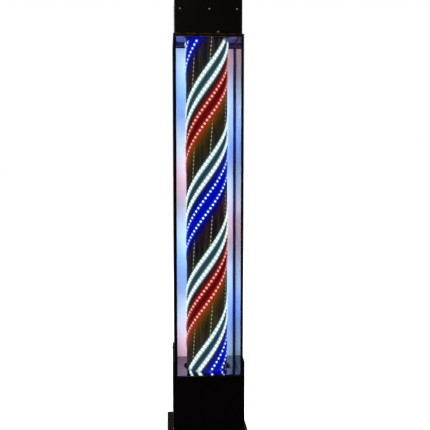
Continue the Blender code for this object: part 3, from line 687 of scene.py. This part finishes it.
def make_materials():
    return {
        "powder": worked(
            "black_powder_coat",
            BLACK_COAT,
            0.42,
            variation=0.5,
            speckle=0.5,
            grain_scale=900.0,
            grain_depth=0.10,
            dust=0.03,
            dust_colour=(0.10, 0.095, 0.09),
            specular=0.12,
            rub_and_highlight=(0.045, 0.026, 0.014),
        ),
        "abraded_and_highlit": worked(
            "powder_coat_abraded_and_highlit",
            (0.0110, 0.0060, 0.0045),
            0.40,
            variation=0.6,
            speckle=0.6,
            grain_scale=900.0,
            grain_depth=0.10,
            dust=0.25,
            dust_colour=(0.22, 0.14, 0.08),
            specular=0.2,
            # painted warm highlight along the top frame's edges, on top of real abrasion
            rub_and_highlight=(0.55, 0.30, 0.14),
            rub_and_highlight_width=0.0030,
            # painted blue LED light on the top frame's faces turned to the drum
            inner=(0.010, 0.016, 0.150),
        ),
        "gloss": worked(
            "polished_dark_sheet",
            (0.105, 0.098, 0.170),
            0.06,
            metallic=1.0,
            variation=0.2,
            speckle=0.1,
            grain_depth=0.0,
            smear=0.06,
            dust=0.06,
            dust_colour=(0.20, 0.20, 0.22),
        ),
        "ceiling": ceiling_sheet(),
        "posts_painted_blue_light": post_coat_and_blue_light(BLACK_COAT),
        "glass": clear_glass(),
        "reflector": worked(
            "white_reflector_sheet",
            (0.80, 0.83, 0.86),
            0.34,
            variation=0.06,
            speckle=0.03,
            grain_scale=600.0,
            grain_depth=0.02,
            dust=0.03,
        ),
        "film": drum_film(),
        "zinc": worked(
            "zinc_plate",
            (0.55, 0.55, 0.52),
            0.38,
            metallic=1.0,
            variation=0.35,
            grain_scale=500.0,
            smear=0.25,
        ),
        "steel": brushed("mill_steel", (0.50, 0.51, 0.53), 0.36),
        "ground": brushed("ground_steel", (0.62, 0.63, 0.65), 0.22, along=(0.03, 0.03, 1.0)),
        "screw": worked(
            "nickel_screw",
            (0.30, 0.30, 0.31),
            0.28,
            metallic=1.0,
            variation=0.4,
            dust=0.05,
            grain_depth=0.02,
        ),
        "brass": brushed("turned_brass", (0.72, 0.50, 0.20), 0.26, along=(0.03, 0.03, 1.0)),
        "plastic": worked(
            "moulded_black_plastic",
            (0.016, 0.016, 0.017),
            0.42,
            variation=0.25,
            grain_scale=1100.0,
            grain_depth=0.07,
        ),
        "smooth_plastic": worked(
            "smooth_black_plastic", (0.012, 0.012, 0.013), 0.20, variation=0.2, grain_depth=0.01, smear=0.2
        ),
        "rubber": worked(
            "moulded_rubber",
            (0.014, 0.014, 0.014),
            0.78,
            variation=0.35,
            grain_scale=700.0,
            grain_depth=0.12,
            dust=0.4,
        ),
        "sheath": worked("cable_sheath", (0.020, 0.020, 0.022), 0.5, grain_scale=500.0, grain_depth=0.05),
        "carbon": worked("sintered_carbon", (0.035, 0.035, 0.037), 0.6, speckle=0.5, grain_scale=2200.0),
        "nylon": worked("white_nylon", (0.90, 0.90, 0.92), 0.35, variation=0.05, speckle=0.03, dust=0.0),
        "chip": worked("black_chip_housing", (0.012, 0.012, 0.013), 0.45, grain_depth=0.02),
    }


# ---------------------------------------------------------------- shape tools
def place(name, mesh, mat, smooth_below_deg=40):
    bmesh.ops.recalc_face_normals(mesh, faces=mesh.faces)
    data = bpy.data.meshes.new(name)
    mesh.to_mesh(data)
    mesh.free()
    if smooth_below_deg:
        data.shade_smooth()
        data.set_sharp_from_angle(angle=math.radians(smooth_below_deg))
    data.materials.append(mat)
    piece = bpy.data.objects.new(name, data)
    bpy.context.scene.collection.objects.link(piece)
    return piece


def polar(radius, angle, height):
    return Vector((radius * math.cos(angle), radius * math.sin(angle), height))


def join_rings(mesh, rings, closed):
    """Faces between neighbouring rings. A ring of one vertex is a point on the axis."""
    pairs = list(zip(rings, rings[1:]))
    if closed:
        pairs.append((rings[-1], rings[0]))
    for lower, upper in pairs:
        sides = max(len(lower), len(upper))
        for i in range(sides):
            j = (i + 1) % sides
            around = ((lower, i), (lower, j), (upper, j), (upper, i))
            corners = [ring[k % len(ring)] for ring, k in around]
            mesh.faces.new(list(dict.fromkeys(corners)))


def add_turned(mesh, profile, sides, where=Matrix.Identity(4)):
    """Turns a profile of (radius, height) about Z. It closes on the axis, or as a ring clear of it."""
    angles = [2 * math.pi * i / sides for i in range(sides)]
    rings = []
    for radius, height in profile:
        spread = angles if radius else [0.0]
        rings.append([mesh.verts.new(where @ polar(radius, angle, height)) for angle in spread])
    join_rings(mesh, rings, closed=profile[0][0] != 0)


def facing(axis, at, spin=0.0):
    turn = Vector((0, 0, 1)).rotation_difference(Vector(axis)).to_matrix().to_4x4()
    return Matrix.Translation(Vector(at)) @ turn @ Matrix.Rotation(spin, 4, "Z")


def stamp(name, pattern, places, mat, smooth_below_deg=40):
    """One piece made of the same closed shape at many places."""
    pattern.verts.ensure_lookup_table()
    shape = [v.co.copy() for v in pattern.verts]
    faces = [[v.index for v in f.verts] for f in pattern.faces]
    verts, polygons = [], []
    for where in places:
        start = len(verts)
        verts += [where @ co for co in shape]
        polygons += [[start + i for i in face] for face in faces]
    pattern.free()
    data = bpy.data.meshes.new(name)
    data.from_pydata(verts, [], polygons)
    data.shade_smooth()
    data.set_sharp_from_angle(angle=math.radians(smooth_below_deg))
    data.materials.append(mat)
    piece = bpy.data.objects.new(name, data)
    bpy.context.scene.collection.objects.link(piece)
    return piece


def indexed(mesh):
    bmesh.ops.recalc_face_normals(mesh, faces=mesh.faces)
    mesh.verts.index_update()
    return mesh


# ---------------------------------------------------------------- drum and LED tapes
def make_drum(mats):
    """The fine tube in its film, with rolled edges at both ends."""
    inner, outer = DRUM_RADIUS - DRUM_WALL, DRUM_RADIUS
    low, high = DRUM_LOW.z, DRUM_HIGH.z
    round_over = 0.0008
    profile = [
        (inner, low + round_over),
        (inner + round_over, low),
        (outer - round_over, low),
        (outer, low + round_over),
        (outer, high - round_over),
        (outer - round_over, high),
        (inner + round_over, high),
        (inner, high - round_over),
    ]
    mesh = bmesh.new()
    add_turned(mesh, profile, 144)
    drum = place("drum_shell", mesh, mats["film"])
    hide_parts("drum_tube")
    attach(drum, "drum")


def helix_frame(phase_deg, z):
    """Where a tape's middle is at a height, with X across, Y along the tape and Z out of the drum."""
    turn = (z - FIRST_CROSSING) / LEAD * 2 * math.pi + math.radians(phase_deg)
    angle = turn - math.pi / 2
    radius = DRUM_RADIUS + TAPE_LIFT
    out = Vector((math.cos(angle), math.sin(angle), 0))
    around = Vector((-math.sin(angle), math.cos(angle), 0))
    along = (around * radius + Vector((0, 0, LEAD / (2 * math.pi)))).normalized()
    across = along.cross(out)
    turned = Matrix((across, along, out)).transposed().to_4x4()
    return Matrix.Translation(out * radius + Vector((0, 0, z))) @ turned


def tape_length_per_height():
    return math.hypot(2 * math.pi * (DRUM_RADIUS + TAPE_LIFT), LEAD) / LEAD


def tape_sections(mesh, phase_deg):
    """Cross-sections up the tape, each with its place in LEDs counted from the upper end."""
    radius = DRUM_RADIUS + TAPE_LIFT
    sections = []
    for i in range(TAPE_STEPS + 1):
        z = TAPE_LOW + (TAPE_HIGH - TAPE_LOW) * i / TAPE_STEPS
        here = helix_frame(phase_deg, z)
        section = []
        for lift in (0.0, TAPE_THICKNESS):
            row = []
            for j in range(TAPE_SIDE_STEPS + 1):
                side = (j / TAPE_SIDE_STEPS - 0.5) * TAPE_WIDTH
                flat = here @ Vector((side, 0, 0))
                out = Vector((flat.x, flat.y, 0)).normalized()
                row.append(mesh.verts.new(out * (radius + lift) + Vector((0, 0, flat.z))))
            section.append(row)
        sections.append((section, (z - TAPE_HIGH) * tape_length_per_height() / LED_PITCH))
    return sections


def make_tape(name, phase_deg, mat):
    """A thin ribbon, wrapped so that each cross-section lies on the drum."""
    mesh = bmesh.new()
    uv = mesh.loops.layers.uv.new("tape")
    sections = tape_sections(mesh, phase_deg)

    def quad(corners, marks):
        face = mesh.faces.new(corners)
        for loop, mark in zip(face.loops, marks):
            loop[uv].uv = mark

    for (a, u0), (b, u1) in zip(sections, sections[1:]):
        for j in range(TAPE_SIDE_STEPS):
            v0, v1 = j / TAPE_SIDE_STEPS, (j + 1) / TAPE_SIDE_STEPS
            marks = ((u0, v0), (u0, v1), (u1, v1), (u1, v0))
            quad((a[1][j], a[1][j + 1], b[1][j + 1], b[1][j]), marks)
            quad((a[0][j], b[0][j], b[0][j + 1], a[0][j + 1]), (marks[0], marks[3], marks[2], marks[1]))
        for j, v in ((0, 0.0), (TAPE_SIDE_STEPS, 1.0)):
            quad((a[0][j], a[1][j], b[1][j], b[0][j]), ((u0, v), (u0, v), (u1, v), (u1, v)))
    for section, u in (sections[0], sections[-1]):
        ring = [*section[0], *reversed(section[1])]
        quad(ring, [(u, 0.5)] * len(ring))
    return place(name, mesh, mat)


def led_places(phase_deg, lift):
    """One place for each LED, counted down from the tape's upper end."""
    step = LED_PITCH / tape_length_per_height()
    count = int((TAPE_HIGH - TAPE_LOW) / step)
    heights = (TAPE_HIGH - (i + 0.5) * step for i in range(count))
    return [helix_frame(phase_deg, z) @ Matrix.Translation((0, 0, lift)) for z in heights]


def lens_shape(radius, height):
    """A shallow drop of clear resin."""
    rings = 4
    profile = [(0, 0), (radius, 0)]
    for i in range(1, rings):
        angle = math.pi / 2 * i / rings
        profile.append((radius * math.cos(angle), height * math.sin(angle)))
    profile.append((0, height))
    mesh = bmesh.new()
    add_turned(mesh, profile, 14)
    return indexed(mesh)


def chip_shape():
    """A square chip body with one corner cut to mark its polarity."""
    half, cut = CHIP_HALF, CHIP_HALF - CHIP_NOTCH
    outline = [(-half, -half), (half, -half), (half, cut), (cut, half), (-half, half)]
    mesh = bmesh.new()
    low = [mesh.verts.new((x, y, 0)) for x, y in outline]
    high = [mesh.verts.new((x * CHIP_TAPER, y * CHIP_TAPER, CHIP_HEIGHT)) for x, y in outline]
    mesh.faces.new(low)
    mesh.faces.new(high)
    for i in range(len(outline)):
        j = (i + 1) % len(outline)
        mesh.faces.new((low[i], low[j], high[j], high[i]))
    return indexed(mesh)


def make_tapes(mats):
    tapes = {colour: tape_material(colour) for colour in LED}
    lenses = {colour: lens_material(colour) for colour in LED}
    counts = {}
    chip_lift = TAPE_THICKNESS + GLUE
    lens_lift = chip_lift + CHIP_HEIGHT + GLUE
    for colour, phase_deg in TAPES:
        counts[colour] = counts.get(colour, 0) + 1
        label = f"{colour}_{counts[colour]}"
        tape = make_tape(f"led_tape_{label}", phase_deg, tapes[colour])
        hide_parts(f"led_strip_{label}")
        spots = led_places(phase_deg, chip_lift)
        chips = stamp(f"led_chips_{label}", chip_shape(), spots, mats["chip"])
        drop = lens_shape(LED[colour]["radius"], LED[colour]["height"])
        lens = stamp(f"led_lenses_{label}", drop, led_places(phase_deg, lens_lift), lenses[colour])
        for piece in (tape, chips, lens):
            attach(piece, "drum")


# ---------------------------------------------------------------- fasteners
FORWARD, REARWARD = (0, -1, 0), (0, 1, 0)
HEAD_SEAT = 0.0004  # how far a head reaches into the face under it
# Radius and height of each kind of head.
CAP_HEAD = (0.0034, 0.0016)
SHEET_HEAD = (0.0032, 0.0014)
COVER_HEAD = (0.0032, 0.0016)
EARTH_HEAD = (0.0036, 0.0022)
RIVET_HEAD = (0.0027, 0.0014)
# Where the heads lie on their faces. A rise is measured from the lower edge of the piece.
CAP_SCREWS_X, CAP_SCREWS_RISE = (-0.078, 0.004, 0.080), 0.066
EARTH_SCREW_X, EARTH_SCREW_RISE = 0.027, 0.004
RIVET_INSET, RIVET_RISE = 0.003, 0.004
SIDE_SCREWS_Y = (BASE_LOW.y + 0.012, BASE_HIGH.y - 0.014)
SIDE_SCREWS_Z = (0.058, 0.150, BASE_HIGH.z - 0.013)
COVER_SCREWS_X, COVER_SCREWS_Z = (-0.087, 0.087), (0.046, 0.120, 0.194)
BACK_SCREWS_X, BACK_SCREWS_Z = (-0.086, 0.086), tuple(0.235 + 0.229 * i for i in range(5))


def screw_shape(radius, height):
    """A pan head with a cross recess."""
    mesh = bmesh.new()
    arm, depth = radius * 0.55, height * 0.55
    over = 0.0005  # how far the recess's cutter stands out of the head
    profile = [(0, -HEAD_SEAT), (radius, -HEAD_SEAT), (radius, height * 0.35)]
    profile += [(radius * 0.88, height * 0.75), (radius * 0.66, height * 0.95), (0, height)]
    add_turned(mesh, profile, 24)
    bmesh.ops.recalc_face_normals(mesh, faces=mesh.faces)
    cross = bmesh.new()
    for spin in (0, math.pi / 2):
        where = Matrix.Rotation(spin, 4, "Z") @ Matrix.Translation((0, 0, height - depth / 2 + over))
        size = Matrix.Diagonal((arm * 2, radius * 0.20, depth + 2 * over, 1))
        bmesh.ops.create_cube(cross, size=1.0, matrix=where @ size)
    head = place("screw_form", mesh, SCRATCH, 30)
    slot = place("recess_form", cross, SCRATCH, 0)
    cutter = head.modifiers.new("recess", "BOOLEAN")
    cutter.operation = "DIFFERENCE"
    cutter.solver = "EXACT"
    cutter.use_self = True
    cutter.object = slot
    bpy.context.view_layer.update()
    made = bmesh.new()
    made.from_object(head, bpy.context.evaluated_depsgraph_get())
    for helper in (head, slot):
        data = helper.data
        bpy.data.objects.remove(helper)
        bpy.data.meshes.remove(data)
    return indexed(made)


def make_screws(name, spots, head, mat):
    """Each spot is (point on the surface, axis out of the head). The recesses stand at mixed angles."""
    places = [facing(axis, at, spin=0.7 + 2.4 * i) for i, (at, axis) in enumerate(spots)]
    screws = stamp(name, screw_shape(*head), places, mat, 30)
    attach(screws, "housing")


def make_fasteners(mats):
    screw = mats["screw"]
    cap_z = CAP_LOW.z + CAP_SCREWS_RISE
    faces = ((CAP_LOW.y, FORWARD), (CAP_HIGH.y, REARWARD))
    spots = [((x, y, cap_z), out) for y, out in faces for x in CAP_SCREWS_X]
    make_screws("cap_screws", spots, CAP_HEAD, screw)

    faces = ((BASE_LOW.x, (-1, 0, 0)), (BASE_HIGH.x, (1, 0, 0)))
    spots = [((x, y, z), out) for x, out in faces for y in SIDE_SCREWS_Y for z in SIDE_SCREWS_Z]
    make_screws("base_side_screws", spots, SHEET_HEAD, screw)

    spots = [((x, REAR_COVER_FACE, z), REARWARD) for x in COVER_SCREWS_X for z in COVER_SCREWS_Z]
    make_screws("rear_cover_screws", spots, COVER_HEAD, screw)

    foot = (EARTH_SCREW_X, CAP_LOW.y, CAP_LOW.z + EARTH_SCREW_RISE)
    make_screws("cap_earth_screw", [(foot, FORWARD)], EARTH_HEAD, mats["brass"])
    corner = (REFLECTOR_HIGH.x - RIVET_INSET, REFLECTOR_LOW.y, REFLECTOR_LOW.z + RIVET_RISE)
    make_screws("reflector_rivet", [(corner, FORWARD)], RIVET_HEAD, mats["nylon"])

    spots = [((x, BACK_FACE, z), REARWARD) for x in BACK_SCREWS_X for z in BACK_SCREWS_Z]
    make_screws("back_panel_screws", spots, SHEET_HEAD, screw)


# ---------------------------------------------------------------- cable gland
GLAND_INNER_END = GLAND_LOW.y + 0.0002
GLAND_OUTER_END = GLAND_HIGH.y - 0.0002
GLAND_FACE = REAR_COVER_FACE + 0.0003  # just clear of the rear cover
GLAND_BORE = 0.0045
THREAD_TURNS = 11
DOME_START = GLAND_FACE + 0.0052
DOME_SIDES, DOME_RIBS, RIB_DEPTH = 96, 24, 0.0005
# Profiles of (radius, distance along the gland).
GLAND_FLANGE = (
    (GLAND_BORE, GLAND_FACE + 0.0001),
    (0.0103, GLAND_FACE + 0.0001),
    (0.0105, GLAND_FACE + 0.0010),
    (0.0105, GLAND_FACE + 0.0042),
    (0.0098, GLAND_FACE + 0.0050),
    (GLAND_BORE, GLAND_FACE + 0.0050),
)
GLAND_SEAL = (
    (0, GLAND_INNER_END + 0.0010),
    (0.0043, GLAND_INNER_END + 0.0010),
    (0.0043, GLAND_OUTER_END - 0.0012),
    (0.0036, GLAND_OUTER_END - 0.0006),
    (0.0012, GLAND_OUTER_END - 0.0018),
    (0, GLAND_OUTER_END - 0.0018),
)
GLAND_DOME = (  # with the depth of the gripping grooves
    (0.0093, DOME_START, 0.0),
    (0.0095, DOME_START + 0.0015, RIB_DEPTH),
    (0.0095, DOME_START + 0.0062, RIB_DEPTH),
    (0.0086, GLAND_OUTER_END - 0.0020, RIB_DEPTH),
    (0.0072, GLAND_OUTER_END, 0.0),
    (0.0048, GLAND_OUTER_END, 0.0),
    (0.0048, DOME_START, 0.0),
)


def thread_profile():
    pitch = (GLAND_FACE - 0.0005 - GLAND_INNER_END) / THREAD_TURNS
    profile = [(GLAND_BORE, GLAND_INNER_END)]
    for i in range(THREAD_TURNS):
        start = GLAND_INNER_END + i * pitch
        profile += [(0.0069, start + pitch * 0.1), (0.0075, start + pitch * 0.5)]
    return profile + [(0.0070, GLAND_FACE), (GLAND_BORE, GLAND_FACE)]


def add_dome(mesh, where):
    """The dome nut, with gripping grooves round its outside."""
    rings = []
    for radius, along, groove in GLAND_DOME:
        ring = []
        for i in range(DOME_SIDES):
            angle = 2 * math.pi * i / DOME_SIDES
            cut = groove * max(0.0, math.cos(angle * DOME_RIBS))
            ring.append(mesh.verts.new(where @ polar(radius - cut, angle, along)))
        rings.append(ring)
    join_rings(mesh, rings, closed=True)


def make_gland(mats):
    """A thread, a hexagonal flange, and a dome nut round a closed rubber seal."""
    middle = (GLAND_LOW + GLAND_HIGH) / 2
    where = facing(REARWARD, (middle.x, 0, middle.z))
    thread, flange, dome, seal = (bmesh.new() for _ in range(4))
    add_turned(thread, thread_profile(), 40, where)
    add_turned(flange, GLAND_FLANGE, 6, where)
    add_dome(dome, where)
    add_turned(seal, GLAND_SEAL, 32, where)
    body = place("gland_thread", thread, mats["plastic"])
    pieces = (
        body,
        place("gland_hex_flange", flange, mats["plastic"], 20),
        place("gland_dome_nut", dome, mats["plastic"], 50),
        place("gland_seal", seal, mats["rubber"]),
    )
    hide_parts("cable_gland")
    for piece in pieces:
        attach(piece, "housing")


# ---------------------------------------------------------------- finishes of the frame's own parts
FINISH = {
    "powder": (
        "back_panel", "base_rear_cover", "base_shell", "cap_shell", "front_sill", "plinth",
        "floor_bearer_left", "floor_bearer_right", "front_post_left", "front_post_right",
    ),
    "abraded_and_highlit": ("top_frame",),
    "posts_painted_blue_light": ("rear_post_left", "rear_post_right"),
    "gloss": ("chamber_floor",),
    "ceiling": ("ceiling_tray",),
    "glass": ("front_glass", "side_glass_left", "side_glass_right"),
    "reflector": ("back_reflector",),
    "steel": ("ballast_plate", "gear_motor"),
    "ground": ("bearing_inner_race", "bearing_outer_race", "motor_shaft", "spindle"),
    "zinc": ("bearing_bridge", "bearing_housing", "drive_hub", "motor_bridge", "power_supply"),
    "brass": ("bearing_ball_cage", "slip_ring_lower_contact", "slip_ring_upper_contact"),
    "carbon": ("lower_brush", "upper_brush"),
    "plastic": (
        "brush_holder", "cable_gland", "drum_bottom_disc", "drum_top_disc",
        "pattern_controller", "slip_ring_sleeve", "switch_body",
    ),
    "smooth_plastic": ("switch_rocker",),
    "rubber": ("foot_front_left", "foot_front_right", "foot_rear_left", "foot_rear_right"),
    "sheath": ("led_feed_lead", "mains_lead", "motor_lead"),
}


def finish_frame(mats):
    for label, names in FINISH.items():
        for name in names:
            data = nodes[name].data
            data.materials.clear()
            data.materials.append(mats[label])


# ---------------------------------------------------------------- studio
CAMERA_PLACE = (-0.1200, -1.9164, 0.8312)
CAMERA_TURN_DEG = 4.315
CAMERA_TILT_DEG = 4.71
CAMERA_LENS_MM = 54.36
FLOOR_HALF = 40.0
FLOOR_NEAR, FLOOR_FAR = 0.7, 2.6  # between these distances the floor brightens to meet the backdrop
FLOOR_NEAR_GLOW, FLOOR_FAR_GLOW = 0.88, 1.02
SIDEWAYS_FROM, SIDEWAYS_FULL = 0.24, 0.46  # slopes away from straight ahead
BACKDROP_DIM = 0.03  # the light that the backdrop gives the object
LIGHTS = (  # place, what it points at, width and height, watts
    ("soft_left", (-2.3, 1.8, 1.3), (0, 0, 0.6), (1.4, 2.0), 105),
    ("soft_right", (2.3, 1.6, 1.3), (0, 0, 0.6), (1.4, 2.0), 105),
    ("soft_back", (0.3, 2.3, 3.8), (0, 0, 0.6), (2.0, 1.4), 30),
    ("soft_front", (-1.3, -2.4, 2.5), (0, 0, 0.9), (0.9, 0.9), 22),
    ("soft_top", (0, 0.2, 3.6), (0, 0, 0), (2.4, 2.4), 8),
)


def make_camera():
    lens = bpy.data.cameras.new("camera")
    lens.lens = CAMERA_LENS_MM
    lens.sensor_width = 36.0
    lens.clip_end = 200.0
    camera = bpy.data.objects.new("camera", lens)
    camera.location = CAMERA_PLACE
    camera.rotation_euler = (math.radians(90 - CAMERA_TILT_DEG), 0, math.radians(-CAMERA_TURN_DEG))
    bpy.context.scene.collection.objects.link(camera)
    bpy.context.scene.camera = camera


def sideways(graph, direction):
    """1 to the left and right of the object, 0 ahead of it and behind it."""
    x, y, _ = graph.split(direction)
    ahead = graph.math("ADD", graph.math("ABSOLUTE", y), 0.001)
    slope = graph.math("DIVIDE", graph.math("ABSOLUTE", x), ahead)
    return graph.span(slope, SIDEWAYS_FROM, SIDEWAYS_FULL, smooth=True)


def shown(graph, path, direction):
    """1 for the camera's own view, and for its view to the sides through nothing but panes of glass.

    It is 0 for light on the object and for reflections.
    """
    direct = graph.math("SUBTRACT", 1.0, path.outputs["Diffuse Depth"], clamp=True)
    unmirrored = graph.math("SUBTRACT", 1.0, path.outputs["Glossy Depth"], clamp=True)
    panes = graph.product(direct, unmirrored, path.outputs["Is Transmission Ray"])
    through = graph.product(panes, sideways(graph, direction))
    return graph.math("ADD", path.outputs["Is Camera Ray"], through, clamp=True)


def make_floor():
    """A pale floor that runs on to the horizon."""
    mesh = bmesh.new()
    corners = ((-1, -1), (1, -1), (1, 1), (-1, 1))
    mesh.faces.new([mesh.verts.new((x * FLOOR_HALF, y * FLOOR_HALF, 0)) for x, y in corners])
    made, graph, shader = new_material("pale_floor")
    path = graph.add("ShaderNodeLightPath")
    pale = graph.mix(graph.noise(graph.place(), 3.0, 4.0), (0.80, 0.80, 0.80), (0.84, 0.84, 0.84))
    colour = graph.mix(path.outputs["Is Camera Ray"], (0.05, 0.05, 0.05), pale)
    graph.fill(shader, base_color=colour, roughness=0.9)
    shader.inputs["Specular IOR Level"].default_value = 0.1
    shader.inputs["Emission Color"].default_value = (1, 1, 1, 1)
    reach = graph.length(graph.place())
    rise = graph.span(reach, FLOOR_NEAR, FLOOR_FAR, FLOOR_NEAR_GLOW, FLOOR_FAR_GLOW, smooth=True)
    strength = graph.product(shown(graph, path, graph.place()), rise)
    graph.feed(shader.inputs["Emission Strength"], strength)
    floor = place("studio_floor", mesh, made, 0)
    floor.location.z = -0.0002


def make_world():
    """A white backdrop to the camera, and a dim one to everything else."""
    world = bpy.data.worlds.new("studio")
    bpy.context.scene.world = world
    world.use_nodes = True
    graph = Graph(world.node_tree)
    backdrop = graph.nodes["Background"]
    backdrop.inputs["Color"].default_value = (1, 1, 1, 1)
    path = graph.add("ShaderNodeLightPath")
    view = shown(graph, path, graph.add("ShaderNodeTexCoord").outputs["Generated"])
    strength = graph.math("MULTIPLY_ADD", view, 1.0 - BACKDROP_DIM, BACKDROP_DIM)
    graph.feed(backdrop.inputs["Strength"], strength)


def make_light(name, at, aim, size, power):
    lamp = bpy.data.lights.new(name, "AREA")
    lamp.shape = "RECTANGLE"
    lamp.size, lamp.size_y = size
    lamp.energy = power
    light = bpy.data.objects.new(name, lamp)
    light.location = at
    light.rotation_euler = (Vector(aim) - Vector(at)).to_track_quat("-Z", "Y").to_euler()
    light.visible_camera = False
    light.visible_transmission = False
    bpy.context.scene.collection.objects.link(light)


def main():
    scene = bpy.context.scene
    scene.view_settings.view_transform = "Standard"
    make_camera()
    mats = make_materials()
    finish_frame(mats)
    make_drum(mats)
    make_tapes(mats)
    make_fasteners(mats)
    make_gland(mats)
    make_floor()
    make_world()
    for light in LIGHTS:
        make_light(*light)


SCRATCH = bpy.data.materials.new("form")
main()
